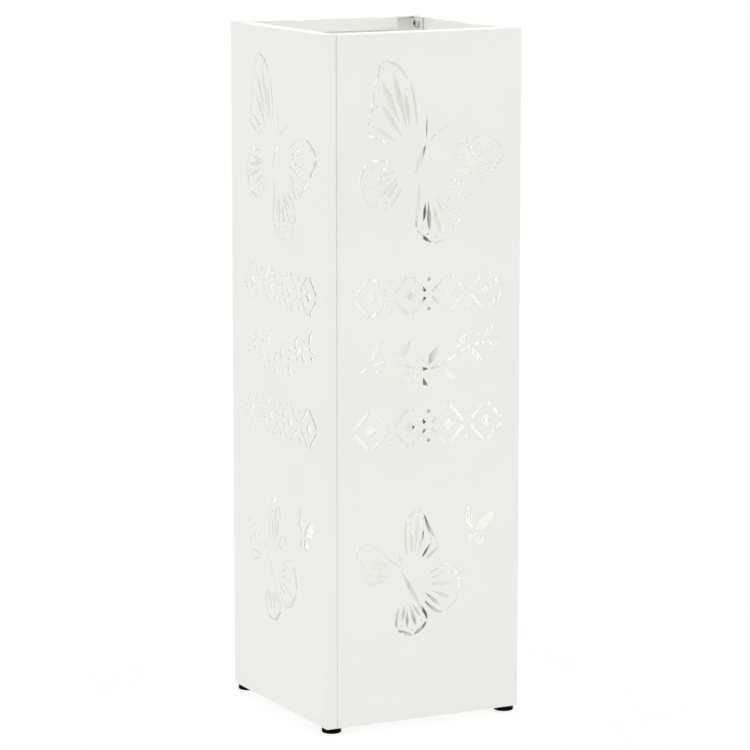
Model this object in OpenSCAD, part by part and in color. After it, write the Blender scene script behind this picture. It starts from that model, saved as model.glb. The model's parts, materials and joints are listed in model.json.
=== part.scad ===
// Square umbrella stand folded from two L-shaped steel panels, pierced on all four sides.
// The origin is on the floor under the centre of the stand, +Z is up and -Y is the front.

/* [Stand] */
// Outer width and depth of the square stand
stand_w = 155; // [140:1:190]
// Height of the folded walls, without the feet
wall_h = 493; // [440:1:560]
// Thickness of the steel sheet
sheet = 1; // [0.8:0.1:1.2]
// Inside radius of every fold in the sheet
bend_in = 0.15; // [0.1:0.05:0.6]

/* [Rim] */
// Width of the flange folded inward round the mouth
rim_w = 8.5; // [7:0.5:12]
// Depth of the lip folded down behind the rim
lip_h = 10; // [6:0.5:14]
// Open mitre between two neighbouring flanges
mitre_gap = 0.3; // [0.2:0.1:0.6]

/* [Seams] */
// Distance from a corner to the seam where the two panels meet
seam_in = 8.7; // [8.5:0.1:9.5]
// Depth of the bolted flanges behind the seam
seam_flange = 21; // [20:0.5:24]
// Distance from the outer face to the bolts
bolt_in = 15; // [14.5:0.5:16]
// Number of bolts along one seam
bolt_count = 4; // [2:1:6]
// Diameter of the seam bolts
bolt_d = 4; // [3:0.5:4]
// Length of a seam bolt under its head
bolt_l = 8; // [7:1:8]

/* [Base] */
// Width of the flange folded inward under the base
bottom_flange = 15; // [12:1:18]
// Height of the base plate's upturned edge
base_edge = 8; // [5:1:12]
// Width of the drip tray
tray_w = 130; // [110:1:130]
// Height of the drip tray
tray_h = 25; // [15:1:40]
// Thickness of the drip tray's wall
tray_wall = 1.6; // [1.2:0.1:2.5]
// Corner radius of the drip tray
tray_r = 19; // [19:1:30]

/* [Feet] */
// Diameter of a foot
foot_d = 14; // [12:0.5:15]
// Height from the floor to the walls
foot_h = 3.5; // [3:0.5:5]
// Distance from an outer face to a foot's centre
foot_in = 7.5; // [7:0.5:8]
// Diameter of a foot's screw
stud_d = 5; // [4:0.5:5]
// How far a foot unscrews
foot_travel = 6; // [3:0.5:6]

/* [Pierced pattern] */
// Width of the strokes in the two diamond bands
band_stroke = 2.5; // [1.5:0.1:3.5]
// Number of diamonds in a band
band_count = 4; // [3:1:6]
// Number of leaves on the vine
vine_leaves = 9; // [5:1:11]

/* [Hidden] */

half = stand_w / 2;
seam_x = -half + seam_in;
seam_gap = 0.05;
seam_foot = 18;
lip_start = -half + seam_flange + 2;
fold_r = sheet + bend_in;
running = 0.05;
clear = 0.3;
hole_slack = 0.5;

base_z = foot_h + sheet;
base_half = half - sheet - 0.35;
tray_z = base_z + sheet + clear;
foot_c = half - foot_in;

head_d = 7.6;
head_h = 2.2;
hex_key = 2.5;
washer_d = 8;
washer_t = 0.5;
nut_af = 7;
nut_h = 3.2;
weld_nut_af = 8;
weld_nut_h = 4;
bolt_z0 = 32;
bolt_z1 = wall_h - 5.5;

powder = [0.93, 0.93, 0.91];
zinc = [0.72, 0.73, 0.75];
black = [0.05, 0.05, 0.05];
pale_grey = [0.82, 0.83, 0.82];

$fn = 48;

// ---------- outlines of the pierced pattern ----------
// The pattern is drawn on a face 155 wide and 493 high, x from the left edge and y from the bottom.

art_w = 155;
art_h = 493;

function turn(p, a) = [p.x * cos(a) - p.y * sin(a), p.x * sin(a) + p.y * cos(a)];
function item(list, i) = list[(i + 2 * len(list)) % len(list)];

// A point on the smooth closed curve through a list of points, t counting the points.
function curve(list, t) =
    let (i = floor(t), f = t - i, a = item(list, i - 1), b = item(list, i),
         c = item(list, i + 1), d = item(list, i + 2))
    (2 * b + (c - a) * f + (2 * a - 5 * b + 4 * c - d) * f * f
     + (3 * b - a - 3 * c + d) * f * f * f) / 2;

// A pointed leaf from a to b, w wide at its widest place, which lies further along for a larger lean.
function leaf(a, b, w, lean = 1, bow = 0, n = 6) =
    let (d = b - a, side = [-d.y, d.x] / norm(d))
    concat([for (i = [0 : n]) let (s = i / n)
                a + d * s + side * (bow * sin(180 * s) + w / 2 * sin(180 * pow(s, lean)))],
           [for (i = [n - 1 : -1 : 1]) let (s = i / n)
                a + d * s + side * (bow * sin(180 * s) - w / 2 * sin(180 * pow(s, lean)))]);

// A straight stroke with square ends.
function stroke(a, b, w) =
    let (d = b - a, side = [-d.y, d.x] / norm(d) * w / 2)
    [a + side, b + side, b - side, a - side];

function dot(c, r, n = 8) = [for (i = [0 : n - 1]) c + r * [cos(360 * i / n), sin(360 * i / n)]];

// A wing of length 1 along +X from its root: leading edge above, trailing corner below.
fore_wing = [[0, 0.01], [0.3, 0.17], [0.62, 0.25], [0.9, 0.19], [1, 0.02], [0.84, -0.13],
             [0.62, -0.28], [0.4, -0.4], [0.24, -0.24]];
hind_wing = [[0, 0.02], [0.28, 0.24], [0.62, 0.38], [0.9, 0.26], [1, 0], [0.9, -0.24],
             [0.62, -0.36], [0.28, -0.24]];

// A wing is [outline, root, direction of its tip, length, breadth], and a negative breadth mirrors it.
function wing_point(w, p) = w[1] + turn([p.x * w[3], p.y * w[4]], w[2]);
function wing_edge(w, t) = wing_point(w, curve(w[0], t));

// A point d inside the wing's edge, towards its middle.
function wing_inset(w, t, d) =
    let (p = wing_edge(w, t), m = wing_point(w, [0.56, -0.03]) - p) p + m / norm(m) * d;

// Curved strips along the edge of a wing, thickest at the tip, with bridges left between them.
function wing_border(w, strips, thick, n = 6) =
    let (from = 0.8, span = (len(w[0]) - 2 * from) / strips)
    [for (k = [0 : strips - 1])
        let (t0 = from + k * span + 0.1, t1 = from + (k + 1) * span - 0.1)
        concat([for (i = [0 : n]) wing_edge(w, t0 + (t1 - t0) * i / n)],
               [for (i = [n : -1 : 0])
                   let (t = t0 + (t1 - t0) * i / n, ends = 0.5 + 0.5 * sin(180 * i / n),
                        tip = 0.55 + 0.45 * sin(180 * (t - from) / (len(w[0]) - 2 * from)))
                   wing_inset(w, t, thick * ends * tip)])];

// Pointed cells that fan out from the root, each ending in from the edge.
function wing_cells(w, cells, width, in) =
    let (from = 0.17 * len(w[0]), span = (len(w[0]) - 2 * from) / cells)
    [for (k = [0 : cells - 1])
        let (p = wing_inset(w, from + (k + 0.5) * span, in) - w[1], inner = k % 2 == 0 ? 0.45 : 0.34)
        leaf(w[1] + p * inner, w[1] + p, width * (0.7 + 0.3 * sin(180 * (k + 0.5) / cells)), 1.3, 0, 5)];

// A row of dots between the border and the cells.
function wing_dots(w, dots, r, in) =
    let (from = 1.7, span = (len(w[0]) - 2 * from) / dots)
    [for (k = [0 : dots - 1]) dot(wing_inset(w, from + (k + 0.5) * span, in), r)];

function flat(lists) = [for (list = lists) for (loop = list) loop];

function large_wings() = [
    [fore_wing, [69, 406], 112, 71, -68],
    [fore_wing, [85, 399], 3, 56, 68],
    [hind_wing, [64, 397], 204, 40, 50],
    [hind_wing, [80, 386], -73, 44, 50]];
function middle_wings() = [
    [fore_wing, [69, 108], 82, 46, 46],
    [fore_wing, [57, 106], 148, 41, -40],
    [hind_wing, [72, 98], -12, 36, 50],
    [hind_wing, [64, 92], -80, 31, 36]];
function small_wings() = [
    [fore_wing, [117.5, 134.5], 106, 19, -10],
    [fore_wing, [120, 134.5], 34, 18, 17],
    [hind_wing, [120, 132], -62, 10, 10],
    [hind_wing, [117, 132], -108, 7, -6]];

function large_butterfly() = concat(
    flat([for (w = large_wings()) wing_border(w, 5, 2.8)]),
    flat([for (w = large_wings()) wing_cells(w, 5, w[3] > 50 ? 4.6 : 3.8, 7)]),
    flat([for (w = large_wings()) wing_dots(w, 6, 0.8, 4.9)]),
    [leaf([79, 414], [69, 392], 4.2), leaf([73.5, 386], [71.5, 358], 3.4),
     leaf([79, 417], [79.5, 434], 1.3), leaf([81.5, 415.5], [96, 426], 1.3, 1, 1.2)]);
function middle_butterfly() = concat(
    flat([for (w = middle_wings()) wing_border(w, 4, 3.4)]),
    flat([for (w = middle_wings()) wing_cells(w, 4, 3.1, 6)]),
    flat([for (w = middle_wings()) wing_dots(w, 3, 0.7, 4.6)]),
    [leaf([60, 109], [75, 82], 3.4),
     leaf([58.5, 112.5], [51.5, 118.5], 1.1, 1, 0.5), leaf([60.8, 113], [58, 121], 1.1, 1, 0.5)]);
function small_butterfly() =
    [for (w = small_wings()) [for (i = [0 : 17]) wing_edge(w, i * len(w[0]) / 18)]];

// A band of diamonds, each of four strokes with a small solid diamond inside, and dots between them.
function diamond(c, rx, ry) = concat(
    [for (a = [0 : 3])
        let (p = [[rx, 0], [0, ry], [-rx, 0], [0, -ry]][a], q = [[0, ry], [-rx, 0], [0, -ry], [rx, 0]][a])
        stroke(c + p + (q - p) * 0.13, c + q + (p - q) * 0.13, band_stroke)],
    [[c + [rx * 0.3, 0], c + [0, ry * 0.3], c - [rx * 0.3, 0], c - [0, ry * 0.3]]]);
function diamond_band(x0, x1, y, h) =
    let (pitch = (x1 - x0) / band_count)
    concat(flat([for (k = [0 : band_count - 1])
                    diamond([x0 + (k + 0.5) * pitch, y], pitch / 2 - 1, h / 2 + 1)]),
           [for (k = [1 : band_count - 1]) for (s = [-1, 1]) dot([x0 + k * pitch, y + s * h * 0.36], 1.5)]);

// A vine that climbs to the right: a waving stem in short lengths, and leaves on both its sides.
function vine_y(x) = 253 + 0.115 * (x - 24) + 5.5 * sin(4.6 * (x - 24));
function vine() =
    let (x0 = 24, x1 = 139, pitch = (x1 - x0) / (vine_leaves + 1))
    concat([for (k = [0 : vine_leaves])
                let (a = x0 + k * pitch + 0.8, b = x0 + (k + 1) * pitch - 0.8)
                concat([for (i = [0 : 4]) let (x = a + (b - a) * i / 4)
                            [x, vine_y(x) + 0.6 + 0.7 * sin(45 * i)]],
                       [for (i = [4 : -1 : 0]) let (x = a + (b - a) * i / 4)
                            [x, vine_y(x) - 0.6 - 0.7 * sin(45 * i)]])],
           [for (k = [1 : vine_leaves])
                let (x = x0 + k * pitch, up = k % 2 == 1 ? 1 : -1, l = 19 - 6 * k / vine_leaves,
                     root = [x, vine_y(x) + up * 2.6])
                leaf(root, root + turn([l, 0], up * (up > 0 ? 58 : 44)), 6 - 1.6 * k / vine_leaves, 0.8, up)],
           [for (k = [1 : vine_leaves])
                let (x = x0 + (k + 0.45) * pitch, up = k % 2 == 1 ? -1 : 1, c = [x, vine_y(x) + up * 4.6])
                leaf(c - [2.2, 0], c + [2.4, up * 1.6], 2.2, 0.9, up * 0.4, 4)]);

function face_pattern() = concat(
    large_butterfly(), diamond_band(20, 143, 307.5, 29), vine(),
    diamond_band(20, 143, 213, 29), middle_butterfly(), small_butterfly());

module pattern() {
    scale([stand_w / art_w, wall_h / art_h])
        for (loop = face_pattern()) polygon(loop);
}

// ---------- folded sheet ----------
// Each wall is drawn as the front one, and turned about Z to its own side.

// A quarter of a folded edge, centred on the fold and filling the corner away from the given quadrant.
module fold(qx, qy) {
    intersection() {
        difference() {
            circle(fold_r);
            circle(bend_in);
        }
        translate([qx > 0 ? 0 : -fold_r, qy > 0 ? 0 : -fold_r]) square(fold_r);
    }
}

// Flat part of a wall from x0 to x1, with the pattern cut through it.
module wall(x0, x1) {
    translate([0, -half + sheet, foot_h]) rotate([90, 0, 0])
        linear_extrude(sheet) difference() {
            translate([x0, fold_r]) square([x1 - x0, wall_h - 2 * fold_r]);
            if (x1 - x0 > stand_w / 2) translate([-half, 0]) pattern();
        }
}

// Upright fold at x, turning back (the right-hand corner) or inward (the seam).
module upright_fold(x, qx) {
    translate([x, -half + fold_r, foot_h + fold_r])
        linear_extrude(wall_h - 2 * fold_r) fold(qx, -1);
}

// Section of the folded edges above and below a wall, x inward and y up.
module rim_section() {
    translate([fold_r, wall_h - fold_r]) fold(-1, 1);
    translate([fold_r, wall_h - sheet]) square([rim_w - 2 * fold_r, sheet]);
    translate([rim_w - fold_r, wall_h - fold_r]) fold(1, 1);
}
module lip_section() {
    translate([rim_w - sheet, wall_h - lip_h]) square([sheet, lip_h - fold_r]);
}
module bottom_section() {
    translate([fold_r, fold_r]) fold(-1, -1);
    translate([fold_r, 0]) square([bottom_flange - fold_r, sheet]);
}

// Sweeps a section along a wall from x0 to x1.
module along(x0, x1) {
    translate([x0, -half, foot_h]) rotate([90, 0, 90]) linear_extrude(x1 - x0) children();
}

// Column with mitred ends that keeps a wall's flanges clear of its neighbours'.
module mitre(depth) {
    g = mitre_gap / 2;
    linear_extrude(foot_h + wall_h + 1) intersection() {
        polygon([[-half + g, -half - 1], [half - g, -half - 1], [half - g, -half],
                 [half - depth - g, -half + depth], [-half + depth + g, -half + depth], [-half + g, -half]]);
        hull_square(half, fold_r);
    }
}
module hull_square(h, r) {
    square([2 * h, 2 * (h - r)], center = true);
    square([2 * (h - r), 2 * h], center = true);
    for (x = [-1, 1]) for (y = [-1, 1]) translate([x * (h - r), y * (h - r)]) circle(r);
}

// The folded edges of one wall, with the lip from lip0 to lip1.
module folded_edges(x0, x1, lip0, lip1) {
    intersection() {
        union() {
            along(x0, x1) rim_section();
            along(x0, x1) bottom_section();
            if (lip1 > lip0) along(lip0, lip1) lip_section();
        }
        mitre(bottom_flange + 2);
    }
}

// Flange behind the seam, from the fold inward, drilled for the seam bolts.
module seam_flange(x) {
    z0 = seam_foot;
    z1 = wall_h - sheet - clear;
    translate([x, -half, foot_h]) difference() {
        rotate([90, 0, 90]) linear_extrude(sheet)
            polygon([[fold_r, z0], [seam_flange - 6, z0], [seam_flange, z0 + 6], [seam_flange, z1],
                     [rim_w + 1, z1], [rim_w + 1, z1 - 1], [fold_r, z1 - 1]]);
        for (z = bolt_heights()) translate([-1, bolt_in, z]) rotate([0, 90, 0])
            cylinder(d = bolt_d + hole_slack, h = sheet + 2);
    }
}
function bolt_heights() = [for (i = [0 : bolt_count - 1]) bolt_z0 + (bolt_z1 - bolt_z0) * i / (bolt_count - 1)];

module seam_wall() {
    wall(seam_x + fold_r, half - fold_r);
    upright_fold(seam_x + fold_r, -1);
    upright_fold(half - fold_r, 1);
    folded_edges(seam_x + seam_gap, half, lip_start, half);
    seam_flange(seam_x);
}
module plain_wall() {
    wall(-half + fold_r, half - fold_r);
    upright_fold(half - fold_r, 1);
    folded_edges(-half, half, -half, -lip_start);
}
module wrap() {
    wall(-half + fold_r, seam_x - fold_r);
    upright_fold(seam_x - fold_r, 1);
    folded_edges(-half, seam_x - seam_gap, 0, 0);
    seam_flange(seam_x - sheet);
}

module l_panel() {
    difference() {
        union() {
            seam_wall();
            rotate(90) plain_wall();
            rotate(180) wrap();
        }
        for (a = [0 : 90 : 270]) rotate(a)
            translate([-foot_c, -foot_c, foot_h - 1])
                cylinder(d = stud_d + 1.6, h = sheet + 2);
    }
}

module front_right_panel() { color(powder) l_panel(); }
module back_left_panel() { color(powder) rotate(180) l_panel(); }

// ---------- base and tray ----------

module base_plate() {
    notch = 3;
    color(powder) difference() {
        union() {
            translate([-base_half, -base_half, base_z]) cube([2 * base_half, 2 * base_half, sheet]);
            for (a = [0 : 90 : 270]) rotate(a)
                translate([-base_half + notch, -base_half, base_z])
                    cube([2 * (base_half - notch), sheet, base_edge]);
        }
        for (a = [0 : 90 : 270]) rotate(a) {
            translate([-foot_c, -foot_c, base_z - 1]) cylinder(d = stud_d + 1, h = sheet + 2);
            translate([-base_half - 1, -base_half - 1, base_z - 1]) cube([notch + 1, notch + 1, sheet + 2]);
        }
    }
}

module rounded_block(w, r, h) {
    linear_extrude(h) hull_square(w / 2, r);
}
module drip_tray() {
    lip = 1.4;
    color(pale_grey) translate([0, 0, tray_z]) difference() {
        union() {
            rounded_block(tray_w - 2 * lip, tray_r - lip, tray_h);
            translate([0, 0, tray_h - lip]) rounded_block(tray_w, tray_r, lip);
        }
        translate([0, 0, tray_wall])
            rounded_block(tray_w - 2 * lip - 2 * tray_wall, tray_r - lip - tray_wall, tray_h);
    }
}

// ---------- feet ----------

pad_top = foot_h - clear;
stud_foot = 1;
stud_head_d = 9;
stud_head_h = 1;
stud_top = base_z + sheet + weld_nut_h + foot_travel;

module at_corner(i) {
    s = [[-1, -1], [1, -1], [1, 1], [-1, 1]][i];
    translate([s.x * foot_c, s.y * foot_c, 0]) children();
}
module foot_screw_shape() {
    translate([0, 0, stud_foot]) cylinder(d = stud_head_d, h = stud_head_h);
    translate([0, 0, stud_foot]) cylinder(d = stud_d, h = stud_top - stud_foot - 0.6);
    translate([0, 0, stud_top - 0.6]) cylinder(d1 = stud_d, d2 = stud_d - 1.2, h = 0.6);
}
module foot_pad(i) {
    bottom_r = 0.7;
    top_r = 0.3;
    color(black) at_corner(i) difference() {
        rotate_extrude() union() {
            square([foot_d / 2 - bottom_r, pad_top]);
            translate([0, bottom_r]) square([foot_d / 2, pad_top - bottom_r - top_r]);
            square([foot_d / 2 - bottom_r, bottom_r]);
            translate([foot_d / 2 - bottom_r, bottom_r]) circle(bottom_r);
            translate([0, pad_top - top_r]) square([foot_d / 2 - top_r, top_r]);
            translate([foot_d / 2 - top_r, pad_top - top_r]) circle(top_r);
        }
        translate([0, 0, stud_foot]) cylinder(d = stud_head_d, h = stud_head_h);
        translate([0, 0, stud_foot]) cylinder(d = stud_d, h = foot_h);
    }
}
module foot_screw(i) { color(zinc) at_corner(i) foot_screw_shape(); }

// Hexagonal nut standing on z = 0, with its corners turned off on top.
module hex_nut(af, h, bore) {
    r = af / sqrt(3);
    difference() {
        intersection() {
            cylinder(r = r, h = h, $fn = 6);
            union() {
                cylinder(r = r + 0.1, h = h - 0.5);
                translate([0, 0, h - 0.5]) cylinder(r1 = r + 0.1, r2 = af / 2, h = 0.5);
            }
        }
        translate([0, 0, -1]) cylinder(d = bore, h = h + 2);
    }
}
module weld_nut(i) {
    color(zinc) at_corner(i) translate([0, 0, base_z + sheet])
        hex_nut(weld_nut_af, weld_nut_h, stud_d + 2 * running);
}

// ---------- seam fasteners ----------
// Each seam's bolts run along X, heads inside the stand and nuts in the pocket at the corner.

module at_bolts(back) {
    rotate(back ? 180 : 0) for (z = bolt_heights())
        translate([seam_x, -half + bolt_in, foot_h + z]) rotate([0, 90, 0]) children();
}

// Button head with a hexagonal socket, its seat on z = 0 and its shank below.
module bolt() {
    rim = 0.6;
    socket = 1.3;
    difference() {
        union() {
            cylinder(d = head_d, h = rim);
            translate([0, 0, rim]) cylinder(d1 = head_d, d2 = head_d - 3.2, h = head_h - rim);
        }
        translate([0, 0, head_h - socket]) cylinder(d = hex_key * 2 / sqrt(3), h = socket + 1, $fn = 6);
    }
    translate([0, 0, 0.5 - bolt_l]) cylinder(d = bolt_d, h = bolt_l);
    translate([0, 0, -bolt_l]) cylinder(d1 = bolt_d - 1, d2 = bolt_d, h = 0.5);
}
module washer() {
    difference() {
        cylinder(d = washer_d, h = washer_t);
        translate([0, 0, -1]) cylinder(d = bolt_d + 0.3, h = washer_t + 2);
    }
}
module seam_bolts(back) { color(zinc) at_bolts(back) translate([0, 0, sheet + washer_t]) bolt(); }
module seam_washers(back) { color(zinc) at_bolts(back) translate([0, 0, sheet]) washer(); }
module seam_nuts(back) {
    color(zinc) at_bolts(back) translate([0, 0, -sheet]) rotate([180, 0, 0])
        hex_nut(nut_af, nut_h, bolt_d + 2 * running);
}

front_right_panel();
back_left_panel();
base_plate();
drip_tray();
foot_pad(0);  // foot_pad_front_left
foot_pad(1);  // foot_pad_front_right
foot_pad(2);  // foot_pad_back_right
foot_pad(3);  // foot_pad_back_left
foot_screw(0);  // foot_screw_front_left
foot_screw(1);  // foot_screw_front_right
foot_screw(2);  // foot_screw_back_right
foot_screw(3);  // foot_screw_back_left
weld_nut(0);  // weld_nut_front_left
weld_nut(1);  // weld_nut_front_right
weld_nut(2);  // weld_nut_back_right
weld_nut(3);  // weld_nut_back_left
seam_bolts(false);  // seam_bolts_front_left
seam_bolts(true);  // seam_bolts_back_right
seam_washers(false);  // seam_washers_front_left
seam_washers(true);  // seam_washers_back_right
seam_nuts(false);  // seam_nuts_front_left
seam_nuts(true);  // seam_nuts_back_right
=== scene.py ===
"""Looks of a square folded-steel umbrella stand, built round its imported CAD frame.

The folded panels, the base plate, the washers and the nuts are the CAD's own meshes, with softened edges
and a finish. The drip tray, the feet, their screws, the seam bolts and the weld fillets are modelled here.
Lengths are in metres, and every place comes from the frame.
"""

import json
import logging
import math
from collections.abc import Iterable
from dataclasses import dataclass, field
from enum import Enum

import bmesh
import bpy
from mathutils import Matrix, Vector

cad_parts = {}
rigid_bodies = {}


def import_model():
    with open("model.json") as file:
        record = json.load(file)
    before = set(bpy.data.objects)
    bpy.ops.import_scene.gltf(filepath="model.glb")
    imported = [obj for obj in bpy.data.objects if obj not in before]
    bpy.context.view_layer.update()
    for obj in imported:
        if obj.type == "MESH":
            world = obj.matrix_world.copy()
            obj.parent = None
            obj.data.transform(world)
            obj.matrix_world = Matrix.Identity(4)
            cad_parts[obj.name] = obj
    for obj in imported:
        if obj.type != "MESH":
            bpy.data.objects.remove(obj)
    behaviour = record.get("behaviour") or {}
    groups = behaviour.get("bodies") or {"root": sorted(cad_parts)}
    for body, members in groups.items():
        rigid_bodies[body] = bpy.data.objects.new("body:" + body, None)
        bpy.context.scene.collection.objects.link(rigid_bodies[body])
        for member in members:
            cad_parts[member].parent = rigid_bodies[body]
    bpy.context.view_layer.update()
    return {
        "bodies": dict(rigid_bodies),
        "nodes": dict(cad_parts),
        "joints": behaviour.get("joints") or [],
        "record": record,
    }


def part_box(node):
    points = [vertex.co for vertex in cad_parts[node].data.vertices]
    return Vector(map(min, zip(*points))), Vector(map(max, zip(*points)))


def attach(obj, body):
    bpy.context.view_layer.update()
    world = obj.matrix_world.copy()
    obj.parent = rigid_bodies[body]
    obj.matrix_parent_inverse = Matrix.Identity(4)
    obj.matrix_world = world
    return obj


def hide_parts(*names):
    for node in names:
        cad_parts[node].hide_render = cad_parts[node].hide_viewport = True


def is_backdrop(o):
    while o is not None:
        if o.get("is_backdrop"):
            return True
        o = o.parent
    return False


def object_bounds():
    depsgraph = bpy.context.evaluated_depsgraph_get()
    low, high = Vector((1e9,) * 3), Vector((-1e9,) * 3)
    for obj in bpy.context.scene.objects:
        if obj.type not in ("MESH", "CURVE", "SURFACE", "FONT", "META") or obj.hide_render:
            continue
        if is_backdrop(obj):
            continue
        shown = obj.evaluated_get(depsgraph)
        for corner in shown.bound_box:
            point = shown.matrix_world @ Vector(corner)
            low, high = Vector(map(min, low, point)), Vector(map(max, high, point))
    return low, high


LOG = logging.getLogger("umbrella_stand")
MM = 0.001
WELD_GAP = 0.002 * MM
TURN = 2 * math.pi
THREAD = ((0.0, 0.0), (0.14, 0.0), (0.5, 1.0), (0.64, 1.0))  # shares of the pitch and of the thread's depth


class Corner(Enum):
    """The four corners of the stand, as the signs of their x and y."""

    FRONT_LEFT = (-1, -1)
    FRONT_RIGHT = (1, -1)
    BACK_RIGHT = (1, 1)
    BACK_LEFT = (-1, 1)

    @property
    def label(self) -> str:
        """The corner's name as the frame's nodes and bodies spell it."""
        return self.name.lower()


class Shading(Enum):
    """How a new piece's faces meet."""

    SMOOTH = math.radians(50)
    CRISP = math.radians(25)


# ---------------------------------------------------------------- node graphs


class Graph:
    """A node tree with short ways to add and join nodes."""

    def __init__(self, tree: bpy.types.NodeTree) -> None:
        """Wraps a tree.

        Args:
            tree: the material's or group's node tree.
        """
        self.tree = tree

    def add(self, kind: str, **settings: object) -> bpy.types.Node:
        """Adds a node.

        Args:
            kind: the node type, without its ShaderNode prefix.
            settings: properties set on the node.

        Returns:
            The new node.
        """
        node = self.tree.nodes.new("ShaderNode" + kind)
        for key, value in settings.items():
            setattr(node, key, value)
        return node

    def join(self, source: bpy.types.NodeSocket, target: bpy.types.NodeSocket) -> None:
        """Links two sockets.

        Args:
            source: the output socket.
            target: the input socket.
        """
        self.tree.links.new(source, target)

    def maths(self, operation: str, *values: object, clamp: bool = False) -> bpy.types.NodeSocket:
        """Adds a Math node.

        Args:
            operation: Blender's name of the operation.
            values: numbers or sockets, in order.
            clamp: keeps the result between 0 and 1.

        Returns:
            The node's result.
        """
        node = self.add("Math", operation=operation, use_clamp=clamp)
        for slot, value in zip(node.inputs, values):
            if isinstance(value, bpy.types.NodeSocket):
                self.join(value, slot)
            else:
                slot.default_value = value
        return node.outputs[0]

    def noise(self, vector: bpy.types.NodeSocket, scale: float, detail: float = 2.0) -> bpy.types.NodeSocket:
        """Adds 3-D noise.

        Args:
            vector: the coordinates.
            scale: how many lumps to a metre.
            detail: how many finer layers it has.

        Returns:
            The noise's value.
        """
        node = self.add("TexNoise")
        node.inputs["Scale"].default_value = scale
        node.inputs["Detail"].default_value = detail
        self.join(vector, node.inputs["Vector"])
        return node.outputs["Fac"]

    def drawn_out(
        self, vector: bpy.types.NodeSocket, turn: tuple[float, float, float], length: float
    ) -> bpy.types.NodeSocket:
        """Turns a vector and draws it out along its new Z.

        Args:
            vector: the coordinates.
            turn: angles about X, Y and Z in radians.
            length: how many times longer a pattern becomes.

        Returns:
            The new coordinates.
        """
        node = self.add("Mapping", vector_type="TEXTURE")
        node.inputs["Rotation"].default_value = turn
        node.inputs["Scale"].default_value = (1, 1, length)
        self.join(vector, node.inputs["Vector"])
        return node.outputs["Vector"]

    def step(self, value: bpy.types.NodeSocket, low: float, high: float) -> bpy.types.NodeSocket:
        """Turns a value into a mask.

        Args:
            value: the value.
            low: where the mask is still 0.
            high: where the mask reaches 1.

        Returns:
            The mask, which rises smoothly between the two.
        """
        node = self.add("MapRange", interpolation_type="SMOOTHSTEP")
        node.inputs["From Min"].default_value = low
        node.inputs["From Max"].default_value = high
        self.join(value, node.inputs["Value"])
        return node.outputs["Result"]

    def blend(
        self, mask: bpy.types.NodeSocket, base: object, over: tuple[float, float, float]
    ) -> bpy.types.NodeSocket:
        """Mixes a colour over another by a mask.

        Args:
            mask: 0 keeps the base and 1 gives the other colour.
            base: a colour, or a socket that carries one.
            over: the colour laid over it.

        Returns:
            The mixed colour.
        """
        node = self.add("Mix", data_type="RGBA")
        self.join(mask, node.inputs["Factor"])
        if isinstance(base, bpy.types.NodeSocket):
            self.join(base, node.inputs[6])
        else:
            node.inputs[6].default_value = (*base, 1)
        node.inputs[7].default_value = (*over, 1)
        return node.outputs[2]

    def group(self, tree: bpy.types.NodeTree, **values: object) -> bpy.types.Node:
        """Places a node group.

        Args:
            tree: the group.
            values: numbers or sockets for its inputs, with _ for a space in a name.

        Returns:
            The group's node.
        """
        node = self.add("Group", node_tree=tree)
        for key, value in values.items():
            slot = node.inputs[key.replace("_", " ")]
            if isinstance(value, bpy.types.NodeSocket):
                self.join(value, slot)
            else:
                slot.default_value = value
        return node


def new_group(
    name: str, inputs: dict[str, tuple[str, float | None]], outputs: Iterable[str]
) -> tuple[bpy.types.NodeTree, Graph, bpy.types.Node, bpy.types.Node]:
    """Starts a shader node group.

    Args:
        name: the group's name.
        inputs: socket names, each with its type and its default, or None for a vector.
        outputs: names of the value sockets that the group puts out.

    Returns:
        The group, its graph, and its input and output nodes.
    """
    tree = bpy.data.node_groups.new(name, "ShaderNodeTree")
    for key, (kind, value) in inputs.items():
        socket = tree.interface.new_socket(key, in_out="INPUT", socket_type="NodeSocket" + kind)
        if value is not None:
            socket.default_value = value
    for key in outputs:
        tree.interface.new_socket(key, in_out="OUTPUT", socket_type="NodeSocketFloat")
    graph = Graph(tree)
    return tree, graph, tree.nodes.new("NodeGroupInput"), tree.nodes.new("NodeGroupOutput")


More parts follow.
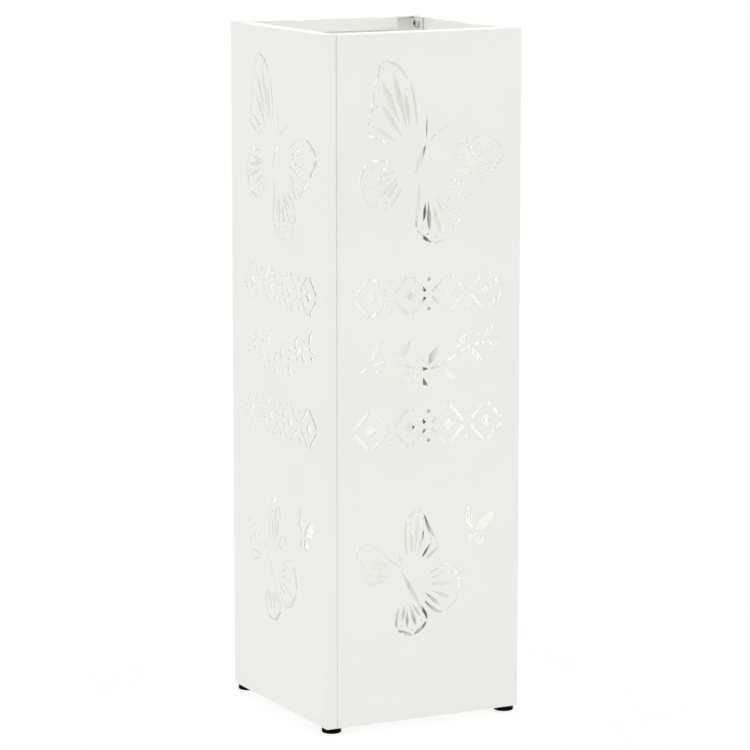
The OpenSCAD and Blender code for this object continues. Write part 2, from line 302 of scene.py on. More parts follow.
class Effects:
    """The surface effects that several finishes share, each a node group built once."""

    def __init__(self) -> None:
        """Builds the groups."""
        self.orange_peel = self._orange_peel()
        self.scratches = self._scratches()
        self.dust = self._dust()
        self.patches = self._patches()

    def _orange_peel(self) -> bpy.types.NodeTree:
        """The soft ripple and fine grain of a sprayed or moulded skin.

        Returns:
            A group that puts out Height, and Grain for small changes of tone.
        """
        tree, g, start, end = new_group(
            "orange peel",
            {"Vector": ("Vector", None), "Ripple": ("Float", 1.0), "Grain": ("Float", 1.0)},
            ("Height", "Grain"),
        )
        vector = start.outputs["Vector"]
        ripple = g.maths("MULTIPLY", g.noise(vector, 420, 3), start.outputs["Ripple"])
        fine = g.noise(vector, 2600, 2)
        grain = g.maths("MULTIPLY", fine, start.outputs["Grain"])
        g.join(g.maths("ADD", ripple, grain), end.inputs["Height"])
        g.join(fine, end.inputs["Grain"])
        return tree

    def _scratches(self) -> bpy.types.NodeTree:
        """Fine rubbed lines in two directions, broken into short lengths.

        Returns:
            A group that puts out Mask.
        """
        tree, g, start, end = new_group(
            "fine scratches", {"Vector": ("Vector", None), "Amount": ("Float", 0.5)}, ("Mask",)
        )
        vector = start.outputs["Vector"]
        broken = g.step(g.noise(vector, 45, 2), 0.54, 0.66)
        first = g.step(g.noise(g.drawn_out(vector, (0.5, 0.35, 0.2), 34), 2300, 1), 0.68, 0.74)
        second = g.step(g.noise(g.drawn_out(vector, (-0.75, 0.9, 1.1), 22), 1700, 1), 0.7, 0.76)
        lines = g.maths("MULTIPLY", g.maths("MAXIMUM", first, second), broken)
        g.join(g.maths("MULTIPLY", lines, start.outputs["Amount"]), end.inputs["Mask"])
        return tree

    def _dust(self) -> bpy.types.NodeTree:
        """Dust that has settled on faces that look up.

        Returns:
            A group that puts out Mask.
        """
        tree, g, start, end = new_group(
            "settled dust",
            {"Vector": ("Vector", None), "Normal": ("Vector", None), "Amount": ("Float", 0.5)},
            ("Mask",),
        )
        split = g.add("SeparateXYZ")
        g.join(start.outputs["Normal"], split.inputs[0])
        upward = g.step(split.outputs["Z"], 0.55, 0.98)
        cloud = g.step(g.noise(start.outputs["Vector"], 90, 4), 0.35, 0.75)
        mask = g.maths("MULTIPLY", g.maths("MULTIPLY", upward, cloud), start.outputs["Amount"])
        g.join(mask, end.inputs["Mask"])
        return tree

    def _patches(self) -> bpy.types.NodeTree:
        """Broad soft patches, for tone and gloss that drift over a surface.

        Returns:
            A group that puts out Mask.
        """
        tree, g, start, end = new_group(
            "broad patches", {"Vector": ("Vector", None), "Scale": ("Float", 12.0)}, ("Mask",)
        )
        node = g.add("TexNoise")
        node.inputs["Detail"].default_value = 3
        g.join(start.outputs["Vector"], node.inputs["Vector"])
        g.join(start.outputs["Scale"], node.inputs["Scale"])
        g.join(g.step(node.outputs["Fac"], 0.3, 0.7), end.inputs["Mask"])
        return tree


def start_material(name: str) -> tuple[bpy.types.Material, Graph, bpy.types.Node, bpy.types.NodeSocket]:
    """Starts a material.

    Args:
        name: the material's name.

    Returns:
        The material, its graph, its shader and the piece's own coordinates.
    """
    material = bpy.data.materials.new(name)
    material.use_nodes = True
    graph = Graph(material.node_tree)
    shader = material.node_tree.nodes["Principled BSDF"]
    coordinates = graph.add("TexCoord").outputs["Object"]
    return material, graph, shader, coordinates


def bump(graph: Graph, shader: bpy.types.Node, height: bpy.types.NodeSocket, depth: float) -> None:
    """Gives a shader a bumped normal.

    Args:
        graph: the material's graph.
        shader: the shader.
        height: the height.
        depth: how many metres a height of 1 stands for.
    """
    node = graph.add("Bump")
    node.inputs["Strength"].default_value = 1.0
    node.inputs["Distance"].default_value = depth
    graph.join(height, node.inputs["Height"])
    graph.join(node.outputs["Normal"], shader.inputs["Normal"])


@dataclass(frozen=True)
class PowderCoat:
    """Off-white powder coat baked on steel, with a fine ripple and a drift of tone, rubbed and dusty."""

    name: str = "powder coat"
    colour: tuple[float, float, float] = (0.865, 0.868, 0.835)
    thin_colour: tuple[float, float, float] = (0.835, 0.84, 0.81)
    rub_colour: tuple[float, float, float] = (0.79, 0.79, 0.765)
    dust_colour: tuple[float, float, float] = (0.74, 0.72, 0.67)
    roughness: tuple[float, float] = (0.36, 0.48)
    depth: float = 0.02 * MM
    scuffs: float = 0.3

    def build(self, effects: Effects) -> bpy.types.Material:
        """Builds the material.

        Args:
            effects: the shared surface effects.

        Returns:
            The finished material.
        """
        material, g, shader, where = start_material(self.name)
        peel = g.group(effects.orange_peel, Vector=where, Ripple=1.0, Grain=0.25)
        drift = g.group(effects.patches, Vector=where, Scale=9.0).outputs["Mask"]
        rubs = g.group(effects.scratches, Vector=where, Amount=self.scuffs).outputs["Mask"]
        normal = g.add("NewGeometry").outputs["Normal"]
        dust = g.group(effects.dust, Vector=where, Normal=normal, Amount=0.3).outputs["Mask"]
        specks = g.step(peel.outputs["Grain"], 0.66, 0.74)
        colour = g.blend(g.maths("MULTIPLY", drift, 0.6), self.colour, self.thin_colour)
        colour = g.blend(g.maths("MULTIPLY", specks, 0.25), colour, self.thin_colour)
        colour = g.blend(rubs, colour, self.rub_colour)
        colour = g.blend(dust, colour, self.dust_colour)
        g.join(colour, shader.inputs["Base Color"])
        gloss = g.add("MapRange")
        gloss.inputs["To Min"].default_value, gloss.inputs["To Max"].default_value = self.roughness
        g.join(g.maths("ADD", drift, rubs, clamp=True), gloss.inputs["Value"])
        g.join(gloss.outputs["Result"], shader.inputs["Roughness"])
        shader.inputs["IOR"].default_value = 1.5
        shader.inputs["Coat Roughness"].default_value = 0.2
        coat = g.maths("SUBTRACT", 0.22, g.maths("MULTIPLY", dust, 0.2), clamp=True)
        g.join(coat, shader.inputs["Coat Weight"])
        bump(g, shader, peel.outputs["Height"], self.depth)
        return material


@dataclass(frozen=True)
class MouldedPlastic:
    """Moulded plastic with a fine spark-eroded skin, worn a little where it is touched."""

    name: str
    colour: tuple[float, float, float]
    worn_colour: tuple[float, float, float]
    dust_colour: tuple[float, float, float]
    roughness: tuple[float, float]
    depth: float
    dust: float
    specular: float

    def build(self, effects: Effects) -> bpy.types.Material:
        """Builds the material.

        Args:
            effects: the shared surface effects.

        Returns:
            The finished material.
        """
        material, g, shader, where = start_material(self.name)
        skin = g.group(effects.orange_peel, Vector=where, Ripple=0.35, Grain=1.0)
        drift = g.group(effects.patches, Vector=where, Scale=30.0).outputs["Mask"]
        rubs = g.group(effects.scratches, Vector=where, Amount=0.7).outputs["Mask"]
        normal = g.add("NewGeometry").outputs["Normal"]
        dust = g.group(effects.dust, Vector=where, Normal=normal, Amount=self.dust).outputs["Mask"]
        colour = g.blend(g.maths("MULTIPLY", drift, 0.35), self.colour, self.worn_colour)
        colour = g.blend(rubs, colour, self.worn_colour)
        colour = g.blend(dust, colour, self.dust_colour)
        g.join(colour, shader.inputs["Base Color"])
        gloss = g.add("MapRange")
        gloss.inputs["To Min"].default_value, gloss.inputs["To Max"].default_value = self.roughness
        g.join(g.maths("ADD", drift, g.maths("ADD", rubs, dust), clamp=True), gloss.inputs["Value"])
        g.join(gloss.outputs["Result"], shader.inputs["Roughness"])
        shader.inputs["Specular IOR Level"].default_value = self.specular
        bump(g, shader, skin.outputs["Height"], self.depth)
        return material


@dataclass(frozen=True)
class ZincPlate:
    """Bright zinc plate on steel fasteners, mottled grey with a few dull blooms."""

    name: str = "zinc plate"
    colour: tuple[float, float, float] = (0.66, 0.68, 0.71)
    dull_colour: tuple[float, float, float] = (0.47, 0.48, 0.49)
    roughness: tuple[float, float] = (0.22, 0.5)
    depth: float = 0.01 * MM

    def build(self, effects: Effects) -> bpy.types.Material:
        """Builds the material.

        Args:
            effects: the shared surface effects.

        Returns:
            The finished material.
        """
        material, g, shader, where = start_material(self.name)
        mottle = g.add("TexVoronoi")
        mottle.inputs["Scale"].default_value = 900
        g.join(where, mottle.inputs["Vector"])
        bloom = g.group(effects.patches, Vector=where, Scale=260.0).outputs["Mask"]
        rubs = g.group(effects.scratches, Vector=where, Amount=0.9).outputs["Mask"]
        grain = g.group(effects.orange_peel, Vector=where, Ripple=0.5, Grain=0.8)
        tone = g.maths("MULTIPLY", mottle.outputs["Distance"], 0.5, clamp=True)
        colour = g.blend(tone, self.colour, self.dull_colour)
        colour = g.blend(g.maths("MULTIPLY", bloom, 0.55), colour, self.dull_colour)
        g.join(colour, shader.inputs["Base Color"])
        gloss = g.add("MapRange")
        gloss.inputs["To Min"].default_value, gloss.inputs["To Max"].default_value = self.roughness
        g.join(g.maths("ADD", g.maths("MULTIPLY", bloom, 0.7), rubs, clamp=True), gloss.inputs["Value"])
        g.join(gloss.outputs["Result"], shader.inputs["Roughness"])
        shader.inputs["Metallic"].default_value = 1.0
        bump(g, shader, grain.outputs["Height"], self.depth)
        return material


@dataclass(frozen=True)
class Finishes:
    """The stand's finished materials."""

    powder: bpy.types.Material
    tray: bpy.types.Material
    foot: bpy.types.Material
    zinc: bpy.types.Material
    weld: bpy.types.Material

    @staticmethod
    def build() -> "Finishes":
        """Builds every finish.

        Returns:
            The finishes.
        """
        effects = Effects()
        tray = MouldedPlastic(
            name="tray polypropylene",
            colour=(0.60, 0.61, 0.595),
            worn_colour=(0.67, 0.68, 0.665),
            dust_colour=(0.50, 0.485, 0.45),
            roughness=(0.38, 0.6),
            depth=0.03 * MM,
            dust=0.6,
            specular=0.5,
        )
        foot = MouldedPlastic(
            name="black foot plastic",
            colour=(0.0012, 0.0012, 0.0015),
            worn_colour=(0.005, 0.005, 0.005),
            dust_colour=(0.05, 0.048, 0.045),
            roughness=(0.3, 0.5),
            depth=0.015 * MM,
            dust=0.03,
            specular=0.025,
        )
        weld = ZincPlate(
            name="welded steel",
            colour=(0.30, 0.29, 0.28),
            dull_colour=(0.16, 0.15, 0.14),
            roughness=(0.4, 0.7),
            depth=0.05 * MM,
        )
        return Finishes(
            powder=PowderCoat().build(effects),
            tray=tray.build(effects),
            foot=foot.build(effects),
            zinc=ZincPlate().build(effects),
            weld=weld.build(effects),
        )


# ---------------------------------------------------------------- mesh tools


def lathe(outline: list[tuple[float, float]], steps: int) -> bmesh.types.BMesh:
    """Turns an outline about Z.

    Args:
        outline: radius and height of each point, from one end to the other.
        steps: facets round the turn.

    Returns:
        The turned shape.
    """
    bm = bmesh.new()
    verts = [bm.verts.new((r, 0, z)) for r, z in outline]
    edges = [bm.edges.new(pair) for pair in zip(verts, verts[1:])]
    bmesh.ops.spin(
        bm, geom=verts + edges, cent=(0, 0, 0), axis=(0, 0, 1), angle=TURN, steps=steps, use_merge=True
    )
    bmesh.ops.remove_doubles(bm, verts=bm.verts, dist=1e-7)
    bmesh.ops.recalc_face_normals(bm, faces=bm.faces)
    return bm


def arc(
    centre: tuple[float, float], radius: float, start: float, end: float, steps: int
) -> list[tuple[float, float]]:
    """Points along an arc.

    Args:
        centre: its centre.
        radius: its radius.
        start: its first angle in degrees.
        end: its last angle in degrees.
        steps: how many lengths it is drawn in.

    Returns:
        The points, both ends included.
    """
    points = []
    for i in range(steps + 1):
        a = math.radians(start + (end - start) * i / steps)
        points.append((centre[0] + radius * math.cos(a), centre[1] + radius * math.sin(a)))
    return points


def threaded_rod(
    radius: float, pitch: float, bottom: float, top: float, steps: int = 24
) -> bmesh.types.BMesh:
    """Cuts a helical thread on a rod that stands along Z, with its top end turned to a short cone.

    Args:
        radius: outside radius.
        pitch: rise of the thread in one turn.
        bottom: height of its lower end.
        top: height of its upper end.
        steps: facets round the turn.

    Returns:
        The rod, closed at both ends.
    """
    depth = 0.6 * pitch
    turns = math.ceil((top - bottom) / pitch) + 2
    bm = bmesh.new()
    verts = []
    for k in range(turns):
        z = bottom - pitch + k * pitch
        for along, down in THREAD:
            verts.append(bm.verts.new((radius - down * depth, 0, z + along * pitch)))
    verts.append(bm.verts.new((radius, 0, bottom - pitch + turns * pitch)))
    edges = [bm.edges.new(pair) for pair in zip(verts, verts[1:])]
    bmesh.ops.spin(
        bm,
        geom=verts + edges,
        cent=(0, 0, 0),
        axis=(0, 0, 1),
        dvec=(0, 0, pitch / steps),
        angle=TURN,
        steps=steps,
        use_merge=False,
    )
    bmesh.ops.remove_doubles(bm, verts=bm.verts, dist=1e-7)
    for height, up in ((bottom, -1), (top, 1)):
        geometry = bm.verts[:] + bm.edges[:] + bm.faces[:]
        bmesh.ops.bisect_plane(
            bm, geom=geometry, dist=1e-8, plane_co=(0, 0, height), plane_no=(0, 0, up), clear_outer=True
        )
    for vert in bm.verts:
        limit = radius - 0.8 * depth + max(0.0, top - vert.co.z)
        flat = vert.co.xy.length
        if flat > limit:
            vert.co.xy *= limit / flat
    bmesh.ops.holes_fill(bm, edges=bm.edges, sides=0)
    bmesh.ops.recalc_face_normals(bm, faces=bm.faces)
    return bm


def moved(bm: bmesh.types.BMesh, matrix: Matrix) -> bmesh.types.BMesh:
    """Places a shape.

    Args:
        bm: the shape.
        matrix: where it goes.

    Returns:
        The same shape.
    """
    bmesh.ops.transform(bm, matrix=matrix, verts=bm.verts)
    return bm


def merged(parts: Iterable[bmesh.types.BMesh]) -> bmesh.types.BMesh:
    """Puts several shapes into one and frees them.

    Args:
        parts: the shapes.

    Returns:
        One shape that holds them all.
    """
    whole = bmesh.new()
    for part in parts:
        mesh = bpy.data.meshes.new("part")
        part.to_mesh(mesh)
        part.free()
        whole.from_mesh(mesh)
        bpy.data.meshes.remove(mesh)
    return whole


def make_piece(
    name: str, bm: bmesh.types.BMesh, material: bpy.types.Material, shading: Shading = Shading.SMOOTH
) -> bpy.types.Object:
    """Turns a shape into an object that sits at the origin.

    Args:
        name: the piece's name.
        bm: its shape, which is freed.
        material: its finish.
        shading: where its faces meet in a crease.

    Returns:
        The object.
    """
    mesh = bpy.data.meshes.new(name)
    bm.to_mesh(mesh)
    bm.free()
    mesh.materials.append(material)
    mesh.polygons.foreach_set("use_smooth", [True] * len(mesh.polygons))
    mesh.set_sharp_from_angle(angle=shading.value)
    piece = bpy.data.objects.new(name, mesh)
    bpy.context.scene.collection.objects.link(piece)
    return piece


def soften(piece: bpy.types.Object, width: float, segments: int = 2, weld: bool = True) -> None:
    """Rounds a piece's edges with modifiers.

    Args:
        piece: the object.
        width: width of the rounding in metres.
        segments: facets across it.
        weld: joins the loose triangles of a CAD mesh first.
    """
    if weld:
        join = piece.modifiers.new("join", "WELD")
        join.merge_threshold = WELD_GAP
    edge = piece.modifiers.new("rounded edges", "BEVEL")
    edge.width = width
    edge.segments = segments
    edge.limit_method = "ANGLE"
    edge.angle_limit = math.radians(40)
    edge.use_clamp_overlap = True
    edge.harden_normals = False


# ---------------------------------------------------------------- the stand


@dataclass
class SubAssembly:
    """What every sub-assembly shares: the frame, the finishes and a count of its pieces."""

    frame: dict
    finishes: Finishes
    pieces: list[str] = field(default_factory=list)

    def dress(self, node: str, material: bpy.types.Material) -> bpy.types.Object:
        """Gives a CAD node its finish.

        Args:
            node: the node's name.
            material: the finish.

        Returns:
            The node's object.
        """
        piece = self.frame["nodes"][node]
        piece.data.materials.clear()
        piece.data.materials.append(material)
        self.pieces.append(node)
        return piece

    def fit(self, piece: bpy.types.Object, body: str, slot: str, *nodes: str) -> bpy.types.Object:
        """Hangs a new piece on its body.

        Args:
            piece: the new piece.
            body: the body it moves with.
            slot: the record's material slot; not used.
            nodes: CAD nodes that it stands for.

        Returns:
            The piece.
        """
        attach(piece, body)
        if nodes:
            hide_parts(*nodes)
        self.pieces.append(piece.name)
        return piece

    def report(self) -> None:
        """Logs the pieces that were made."""
        LOG.info("%s: %s", type(self).__name__, ", ".join(self.pieces))


@dataclass
class FoldedShell(SubAssembly):
    """The two L-shaped panels and the base plate, all folded from sheet and powder coated."""

    cut_edge: float = 0.16 * MM
    plate_edge: float = 0.25 * MM

    def build(self) -> None:
        """Softens the sheet's edges as the coat does, and finishes it."""
        for node in ("front_right_panel", "back_left_panel"):
            soften(self.dress(node, self.finishes.powder), self.cut_edge, segments=1)
        soften(self.dress("base_plate", self.finishes.powder), self.plate_edge)
        self.report()


@dataclass
class DripTray(SubAssembly):
    """The moulded tray that catches the water, with drafted walls, a rolled rim and ribs on its floor."""

    wall: float = 1.6 * MM
    rim: float = 1.4 * MM
    rim_depth: float = 1.6 * MM
    rounding: float = 0.5 * MM
    under_in: float = 0.35 * MM
    under_rise: float = 0.3 * MM
    draft: float = 1.2 * MM
    corner: float = 18 * MM
    corner_steps: int = 10
    fillet: float = 3 * MM
    fillet_steps: int = 5
    foot_edge: float = 1.6 * MM
    foot_bends: tuple[tuple[float, float], ...] = ((0.56, 0.84), (1.0, 0.16))
    rib_height: float = 1.2 * MM
    rib_slope: float = 0.8 * MM
    rib_width: float = 2.4 * MM
    first_gap: float = 5 * MM
    rib_gap: float = 9 * MM
    square_ribs: int = 3

    def build(self) -> None:
        """Builds the tray in the place of its CAD solid."""
        low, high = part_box("drip_tray")
        bm = bmesh.new()
        place = Matrix.Translation((0, 0, high.z - self.rounding))
        bmesh.ops.create_grid(bm, x_segments=1, y_segments=1, size=(high.x - low.x) / 2, matrix=place)
        bmesh.ops.bevel(
            bm,
            geom=bm.verts[:],
            offset=self.corner,
            offset_type="OFFSET",
            segments=self.corner_steps,
            profile=0.5,
            affect="VERTICES",
            material=-1,
        )
        upper = bm.faces[:][0]
        band = bmesh.ops.extrude_face_region(bm, geom=[upper], use_keep_orig=True)["geom"]
        lower = next(part for part in band if isinstance(part, bmesh.types.BMFace))
        bmesh.ops.translate(bm, verts=lower.verts[:], vec=(0, 0, self.rounding - self.rim_depth))
        bmesh.ops.recalc_face_normals(bm, faces=bm.faces)
        self._inside(bm, upper, high.z - low.z)
        self._outside(bm, lower, high.z - low.z)
        piece = make_piece("drip_tray_moulding", bm, self.finishes.tray)
        self.fit(piece, "tray", "tray_plastic", "drip_tray")
        self.report()

    def _step(
        self, bm: bmesh.types.BMesh, face: bmesh.types.BMFace, in_by: float, out_by: float = 0.0
    ) -> None:
        """Insets a face and raises it along its own normal, which leaves a band round it.

        Args:
            bm: the tray.
            face: the face, which stays the middle one.
            in_by: how far its outline moves in.
            out_by: how far it rises, or sinks where negative.
        """
        bmesh.ops.inset_region(
            bm, faces=[face], thickness=in_by, depth=out_by, use_boundary=True, use_even_offset=True
        )

    def _inside(self, bm: bmesh.types.BMesh, face: bmesh.types.BMFace, height: float) -> None:
        """Shapes the rim's top, the inner wall with its fillet, and the ribbed floor.

        Args:
            bm: the tray.
            face: the face on top of the rim's band.
            height: height of the whole tray.
        """
        r = self.rounding
        self._step(bm, face, r, r)
        self._step(bm, face, self.rim + self.wall - 2 * r)
        self._step(bm, face, r, -r)
        self._step(bm, face, self.draft, -(height - self.wall - self.fillet - r))
        for k in range(self.fillet_steps):
            a, b = (math.radians(90 * j / self.fillet_steps) for j in (k, k + 1))
            across, down = math.cos(a) - math.cos(b), math.sin(b) - math.sin(a)
            self._step(bm, face, self.fillet * across, -self.fillet * down)
        self._step(bm, face, self.first_gap)
        self._rib(bm, face)
        for _ in range(self.square_ribs):
            self._step(bm, face, self.rib_gap / 2 if len(face.verts) > 4 else self.rib_gap)
            face = self._square(bm, face)
            self._rib(bm, face)

    def _rib(self, bm: bmesh.types.BMesh, face: bmesh.types.BMFace) -> None:
        """Raises one rib round a face.

        Args:
            bm: the tray.
            face: the face, which stays the middle one.
        """
        self._step(bm, face, self.rib_slope, self.rib_height)
        self._step(bm, face, self.rib_width)
        self._step(bm, face, self.rib_slope, -self.rib_height)

    def _square(self, bm: bmesh.types.BMesh, face: bmesh.types.BMFace) -> bmesh.types.BMFace:
        """Draws each rounded corner of the floor's middle face together into one point.

        Args:
            bm: the tray.
            face: the middle face.

        Returns:
            The middle face as it is afterwards.
        """
        outline = face.verts[:]
        for x in (-1, 1):
            for y in (-1, 1):
                near = [v for v in outline if v.is_valid and v.co.x * x > 0 and v.co.y * y > 0]
                if len(near) > 1:
                    reach = max(abs(v.co.x) for v in near)
                    bmesh.ops.pointmerge(bm, verts=near, merge_co=(x * reach, y * reach, near[0].co.z))
        return next(f for f in bm.faces if f.normal.z > 0.9 and f.calc_center_median().xy.length < 0.01 * MM)

    def _outside(self, bm: bmesh.types.BMesh, face: bmesh.types.BMFace, height: float) -> None:
        """Shapes the rim's underside, the outer wall and the foot.

        Args:
            bm: the tray.
            face: the face under the rim's band, which looks down.
            height: height of the whole tray.
        """
        r = self.rounding
        self._step(bm, face, self.under_in, r)
        self._step(bm, face, self.rim - self.under_in, self.under_rise)
        self._step(bm, face, self.draft, height - self.rim_depth - r - self.under_rise - self.foot_edge)
        for across, down in self.foot_bends:
            self._step(bm, face, across * self.foot_edge, down * self.foot_edge)


@dataclass
class ScrewFoot(SubAssembly):
    """One levelling foot: a moulded pad on a threaded steel screw."""

    corner: Corner = Corner.FRONT_LEFT
    pitch: float = 0.8 * MM
    screw_radius: float = 2.5 * MM
    engaged: float = 1.0 * MM
    edge: float = 0.7 * MM
    top_edge: float = 0.3 * MM
    gate_radius: float = 0.9 * MM
    gate_slope: float = 0.2 * MM
    gate_depth: float = 0.3 * MM
    gate_edge: float = 0.05 * MM
    rings: tuple[float, ...] = (3.0 * MM, 4.6 * MM)
    ring_half: float = 0.3 * MM
    ring_depth: float = 0.2 * MM
    groove_depth: float = 0.14 * MM
    groove_half: float = 0.3 * MM
    groove_lift: float = 0.35 * MM
    clearance: float = 0.05 * MM
    collar: float = 1.3 * MM
    recess: float = 0.25 * MM
    lip: float = 0.2 * MM
    lip_drop: float = 0.15 * MM
    bore_depth: float = 1.1 * MM
    steps: int = 64

    def build(self) -> None:
        """Builds the pad and its screw where the frame has them."""
        label = self.corner.label
        body = "foot_" + label
        low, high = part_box("foot_pad_" + label)
        centre = (low + high) / 2
        place = Matrix.Translation((centre.x, centre.y, 0))
        pad = moved(self._pad((high.x - low.x) / 2, low.z, high.z), place)
        piece = make_piece("foot_moulding_" + label, pad, self.finishes.foot)
        self.fit(piece, body, "foot_plastic", "foot_pad_" + label)
        screw_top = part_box("foot_screw_" + label)[1].z
        rod = threaded_rod(self.screw_radius, self.pitch, high.z - self.engaged, screw_top)
        screw = moved(rod, place)
        piece = make_piece("foot_thread_" + label, screw, self.finishes.zinc, Shading.CRISP)
        self.fit(piece, body, "zinc_steel", "foot_screw_" + label)
        self.report()

    def _pad(self, radius: float, bottom: float, top: float) -> bmesh.types.BMesh:
        """Turns the pad.

        Args:
            radius: its radius.
            bottom: height of its underside.
            top: height of its upper face.

        Returns:
            A disc with a rounded edge, a shallow groove round its side, rings under it and a bore on top.
        """
        e, bore = self.edge, self.screw_radius + self.clearance
        outline = [(0.0, bottom + self.gate_depth), (self.gate_radius, bottom + self.gate_depth)]
        outline.append((self.gate_radius + self.gate_slope, bottom + self.gate_edge))
        for r in self.rings:
            outline += [(r - self.ring_half, bottom), (r - self.ring_half / 2, bottom + self.ring_depth)]
            outline += [(r + self.ring_half / 2, bottom + self.ring_depth), (r + self.ring_half, bottom)]
        outline += arc((radius - e, bottom + e), e, -90, 0, 5)
        middle = (bottom + top) / 2 + self.groove_lift
        outline += [(radius, middle - self.groove_half), (radius - self.groove_depth, middle)]
        outline += [(radius, middle + self.groove_half)]
        outline += arc((radius - self.top_edge, top - self.top_edge), self.top_edge, 0, 90, 3)
        collar = bore + self.collar
        floor = top - self.recess
        outline += [(collar + self.top_edge, top), (collar, floor), (bore + self.lip, floor)]
        end = top - self.bore_depth
        outline += [(bore, floor - self.lip_drop), (bore, end), (0.0, end)]
        return lathe(outline, self.steps)


@dataclass
class BaseNut(SubAssembly):
    """One weld nut on the base plate, with the three beads that hold it."""

    corner: Corner = Corner.FRONT_LEFT
    bead: float = 0.9 * MM
    bead_shape: tuple[float, float, float] = (0.75, 1.7, 0.7)
    bead_off: float = 0.1 * MM
    bead_rise: float = 0.15 * MM
    beads: int = 3

    def build(self) -> None:
        """Finishes the nut and lays its beads."""
        node = "weld_nut_" + self.corner.label
        soften(self.dress(node, self.finishes.zinc), 0.2 * MM)
        low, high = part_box(node)
        centre = (low + high) / 2
        reach = (high.y - low.y) / 2 + self.bead_off
        parts = []
        for k in range(self.beads):
            angle = TURN * (k + 0.25) / self.beads
            bm = bmesh.new()
            bmesh.ops.create_uvsphere(bm, u_segments=14, v_segments=8, radius=self.bead)
            side = Matrix.Rotation(angle, 4, "Z")
            shape = Matrix.Diagonal((*self.bead_shape, 1.0))
            spot = Vector((centre.x, centre.y, low.z + self.bead_rise))
            moved(bm, Matrix.Translation(spot) @ side @ Matrix.Translation((reach, 0, 0)) @ shape)
            geometry = bm.verts[:] + bm.edges[:] + bm.faces[:]
            bmesh.ops.bisect_plane(
                bm, geom=geometry, plane_co=(0, 0, low.z), plane_no=(0, 0, -1), clear_outer=True
            )
            bmesh.ops.holes_fill(bm, edges=bm.edges, sides=0)
            parts.append(bm)
        piece = make_piece("weld_beads_" + self.corner.label, merged(parts), self.finishes.weld)
        self.fit(piece, "stand", "zinc_steel")
        self.report()


@dataclass
class SeamFasteners(SubAssembly):
    """The row of socket-headed bolts, washers and nuts behind one seam."""

    corner: Corner = Corner.FRONT_LEFT
    pitch: float = 0.7 * MM
    radius: float = 2.0 * MM
    head_radius: float = 3.8 * MM
    head_height: float = 2.2 * MM
    crown_radius: float = 2.2 * MM
    band: float = 0.5 * MM
    key: float = 2.5 * MM
    socket: float = 1.3 * MM
    lead_in: float = 0.12 * MM
    seat_edge: float = 0.15 * MM
    root: float = 0.3 * MM
    head_steps: int = 36
    crown_steps: int = 6

    def build(self) -> None:
        """Finishes the CAD's nuts and washers, and builds threaded bolts in the CAD bolts' places."""
        label = self.corner.label
        soften(self.dress("seam_nuts_" + label, self.finishes.zinc), 0.18 * MM)
        soften(self.dress("seam_washers_" + label, self.finishes.zinc), 0.1 * MM)
        node = "seam_bolts_" + label
        low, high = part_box(node)
        parts = []
        for z in self._heights(node):
            outward = self.corner.value[0]
            crown, tip = (high.x, low.x) if outward < 0 else (low.x, high.x)
            seat = crown + outward * self.head_height
            spin = Matrix.Rotation(outward * math.radians(90), 4, "Y")
            place = Matrix.Translation((seat, (low.y + high.y) / 2, z)) @ spin
            rod = threaded_rod(self.radius, self.pitch, -self.root, abs(tip - seat), steps=20)
            parts += [moved(rod, place), moved(self._head(), place)]
        piece = make_piece("seam_bolt_threads_" + label, merged(parts), self.finishes.zinc, Shading.CRISP)
        self.fit(piece, "stand", "zinc_steel", node)
        self.report()

    def _heights(self, node: str) -> list[float]:
        """Heights of the bolts' axes, from the gaps between the CAD node's solids.

        Args:
            node: the CAD node of the bolts.

        Returns:
            One height for each bolt, from the lowest up.
        """
        heights = sorted(v.co.z for v in self.frame["nodes"][node].data.vertices)
        centres, start = [], heights[0]
        for a, b in zip(heights, heights[1:] + [math.inf]):
            if b - a > 2 * self.head_radius:
                centres.append((start + a) / 2)
                start = b
        return centres

    def _head(self) -> bmesh.types.BMesh:
        """Builds a button head with a hexagonal socket, its seat on z = 0 and its crown below.

        Returns:
            The head.
        """
        r, h, e = self.head_radius, self.head_height, self.seat_edge
        outline = [(0.0, 0.0), (r - e, 0.0), (r, -e), (r, -self.band)]
        rise, run = h - self.band, r - self.crown_radius
        for k in range(1, self.crown_steps + 1):
            angle = math.radians(90 * k / self.crown_steps)
            outline.append((r - run * (1 - math.cos(angle)), -self.band - rise * math.sin(angle)))
        bm = lathe(outline, self.head_steps)
        rim = [edge for edge in bm.edges if edge.is_boundary]
        mouth = self.key / math.sqrt(3)
        wall = mouth - self.lead_in
        loops = []
        for radius, z in ((mouth, -h), (wall, self.lead_in - h), (wall, self.socket - h)):
            place = Matrix.Translation((0, 0, z))
            verts = bmesh.ops.create_circle(bm, segments=6, radius=radius, matrix=place)["verts"]
            loops.append(list({edge for vert in verts for edge in vert.link_edges}))
        for first, second in zip([rim] + loops, loops):
            bmesh.ops.bridge_loops(bm, edges=first + second)
        bmesh.ops.holes_fill(bm, edges=loops[-1], sides=0)
        bmesh.ops.recalc_face_normals(bm, faces=bm.faces)
        return bm


# ---------------------------------------------------------------- studio


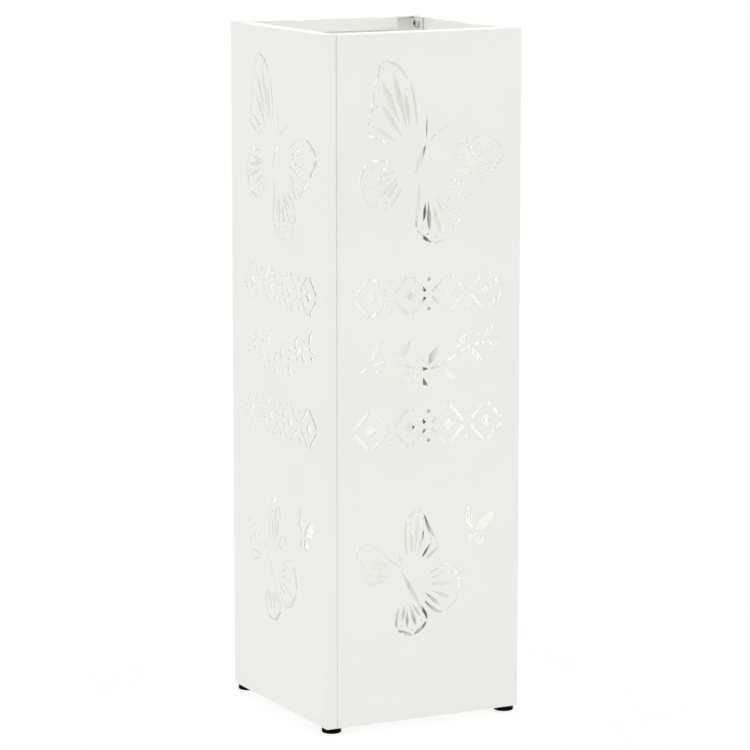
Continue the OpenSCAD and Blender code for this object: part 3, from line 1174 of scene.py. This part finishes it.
@dataclass
class Studio:
    """A plain white floor, soft light from all round, and a camera at standing height to one side."""

    camera_place: tuple[float, float, float] = (-1.2005, -2.3503, 0.6819)
    camera_turn: float = 27.068
    camera_dip: float = 9.467
    lens: float = 176.72
    floor_size: float = 60.0
    floor_colour: tuple[float, float, float] = (0.34, 0.34, 0.34)
    floor_mottle: tuple[float, float, float] = (0.3, 0.3, 0.3)
    floor_glow: float = 0.69
    sky: float = 0.92
    aim: tuple[float, float, float] = (0, 0, 0.25)
    key_place: tuple[float, float, float] = (-1.6, -2.0, 2.4)
    key_size: float = 2.2
    key_power: float = 1.0
    down_place: tuple[float, float, float] = (0, 0, 1.6)
    down_power: float = 0.07
    down_size: float = 0.14
    down_spread: float = 8.0
    fill_count: int = 6
    fill_power: float = 0.044
    fill_bottom: float = 1.4
    fill_top: float = 0.6
    fill_radius: float = 0.02

    def build(self) -> None:
        """Builds the floor, the lights and the camera."""
        self._floor()
        self._lights()
        self._camera()
        settings = bpy.context.scene.view_settings
        settings.view_transform = "Standard"
        settings.look = "None"

    def _floor(self) -> None:
        """Lays the floor."""
        bm = bmesh.new()
        bmesh.ops.create_grid(bm, x_segments=1, y_segments=1, size=self.floor_size / 2)
        material, g, shader, where = start_material("studio floor")
        tone = g.maths("MULTIPLY", g.noise(where, 6, 2), 0.02)
        g.join(g.blend(tone, self.floor_colour, self.floor_mottle), shader.inputs["Base Color"])
        shader.inputs["Roughness"].default_value = 0.9
        shader.inputs["Specular IOR Level"].default_value = 0.0
        shader.inputs["Emission Color"].default_value = (1, 1, 1, 1)
        shader.inputs["Emission Strength"].default_value = self.floor_glow
        make_piece("studio_floor", bm, material)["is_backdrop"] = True

    def _lights(self) -> None:
        """Sets the light from all round, a broad lamp, a narrow one over the mouth and the well's fill."""
        world = bpy.data.worlds.new("studio")
        world.use_nodes = True
        background = world.node_tree.nodes["Background"]
        background.inputs["Color"].default_value = (1, 1, 1, 1)
        background.inputs["Strength"].default_value = self.sky
        bpy.context.scene.world = world
        self._lamp("key", self.key_place, self.key_size, self.key_power)
        overhead = self._lamp("overhead", self.down_place, self.down_size, self.down_power)
        overhead.spread = math.radians(self.down_spread)
        self._fill()

    def _lamp(
        self, name: str, place: tuple[float, float, float], size: float, power: float
    ) -> bpy.types.AreaLight:
        """Hangs a square lamp that faces the stand.

        Args:
            name: its name.
            place: its centre.
            size: its width.
            power: its power in watts.

        Returns:
            The lamp's data.
        """
        data = bpy.data.lights.new(name, "AREA")
        data.shape = "SQUARE"
        data.size = size
        data.energy = power
        lamp = bpy.data.objects.new(name, data)
        lamp.location = place
        towards = Vector(self.aim) - Vector(place)
        lamp.rotation_euler = towards.to_track_quat("-Z", "Y").to_euler()
        bpy.context.scene.collection.objects.link(lamp)
        return data

    def _fill(self) -> None:
        """Hangs a row of small soft lamps down the well, unseen themselves and brightest at the bottom."""
        low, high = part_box("drip_tray")[1].z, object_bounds()[1].z
        for k in range(self.fill_count):
            data = bpy.data.lights.new(f"fill_{k}", "POINT")
            share = self.fill_bottom + (self.fill_top - self.fill_bottom) * k / (self.fill_count - 1)
            data.energy = self.fill_power * share
            data.shadow_soft_size = self.fill_radius
            lamp = bpy.data.objects.new(data.name, data)
            lamp.location = (0, 0, low + (high - low) * (k + 0.5) / self.fill_count)
            lamp.visible_camera = False
            lamp.visible_glossy = False
            bpy.context.scene.collection.objects.link(lamp)

    def _camera(self) -> None:
        """Places the camera."""
        data = bpy.data.cameras.new("camera")
        data.sensor_width = 36
        data.lens = self.lens
        camera = bpy.data.objects.new("camera", data)
        camera.location = self.camera_place
        camera.rotation_euler = (math.radians(90 - self.camera_dip), 0, -math.radians(self.camera_turn))
        bpy.context.scene.collection.objects.link(camera)
        bpy.context.scene.camera = camera


def main() -> None:
    """Builds the studio and dresses the stand."""
    logging.basicConfig(level=logging.INFO, format="%(name)s: %(message)s")
    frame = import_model()
    Studio().build()
    finishes = Finishes.build()
    FoldedShell(frame, finishes).build()
    DripTray(frame, finishes).build()
    for corner in Corner:
        ScrewFoot(frame, finishes, corner=corner).build()
        BaseNut(frame, finishes, corner=corner).build()
    for corner in (Corner.FRONT_LEFT, Corner.BACK_RIGHT):
        SeamFasteners(frame, finishes, corner=corner).build()


if __name__ == "__main__":
    main()
